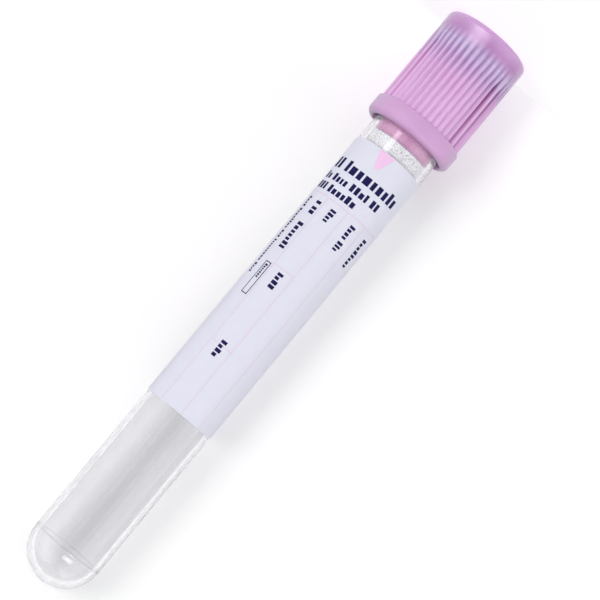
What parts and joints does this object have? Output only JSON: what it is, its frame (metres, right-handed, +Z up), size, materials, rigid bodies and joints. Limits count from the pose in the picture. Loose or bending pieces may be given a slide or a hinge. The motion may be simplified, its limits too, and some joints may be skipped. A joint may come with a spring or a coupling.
{
  "type": "blood collection tube",
  "caption": "Clear round-bottomed sample tube with a wrap-round paper label, a rubber stopper and a ribbed pull-off cap with a needle port, standing head down on the flat end of its cap.",
  "frame": {"origin": "on the bench, under the middle of the cap's flat end, on which the tube stands head down", "axes": "+Z up along the tube's axis from the cap to the round bottom; -Y is the front, with the middle of a group of finger grooves and the middle of the label's plain half near it"},
  "size_m": [0.0168, 0.0168, 0.1164],
  "materials": {
    "clear_plastic": "gloss",
    "label_paper": "satin",
    "stopper_rubber": "matte",
    "cap_plastic": "satin"
  },
  "bodies": {
    "closure": {"outer_cap": "cap_plastic", "rubber_stopper": "stopper_rubber"},
    "tube_body": {"tube": "clear_plastic", "label": "label_paper"}
  },
  "joints": [
    {"name": "pull_off", "type": "slide", "parent": "closure", "child": "tube_body", "axis": [0, 0, 1], "range_m": [0, 0.03]}
  ]
}
